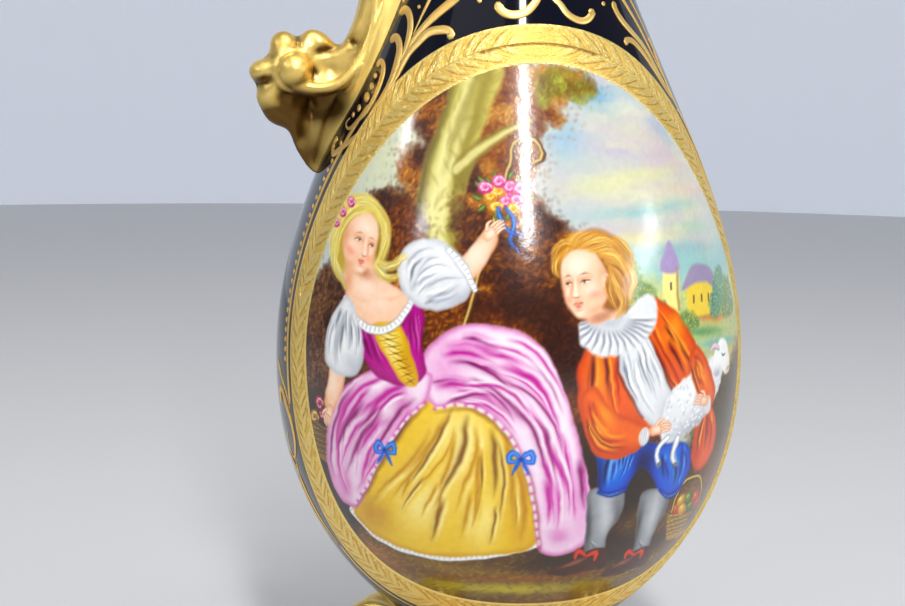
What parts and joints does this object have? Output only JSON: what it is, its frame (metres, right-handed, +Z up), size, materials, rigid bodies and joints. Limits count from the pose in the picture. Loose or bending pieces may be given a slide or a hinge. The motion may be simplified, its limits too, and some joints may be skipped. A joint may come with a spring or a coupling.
{
  "type": "ewer",
  "caption": "Pear-bodied porcelain ewer with a pulled pouring lip, gilt scroll handle, painted medallion and scroll feet.",
  "frame": {"origin": "middle of the whole ewer's footprint box, at the level its feet stand on; the pot's own axis stands 4.9 mm from it towards the spout", "axes": "+Z up, +X towards the pouring lip, -X towards the handle, -Y towards the painted medallion"},
  "size_m": [0.1747, 0.165, 0.4158],
  "materials": {
    "cobalt_glaze": "deep cobalt glaze, high gloss",
    "white_glaze": "clear glaze over white porcelain, inside the vessel and under the foot",
    "gilding": "burnished fired gilding on porcelain, a skin only and not solid metal",
    "painting": "enamel colours fired under a gloss glaze"
  },
  "bodies": {
    "root": {"ewer": "cobalt_glaze"}
  },
  "joints": []
}
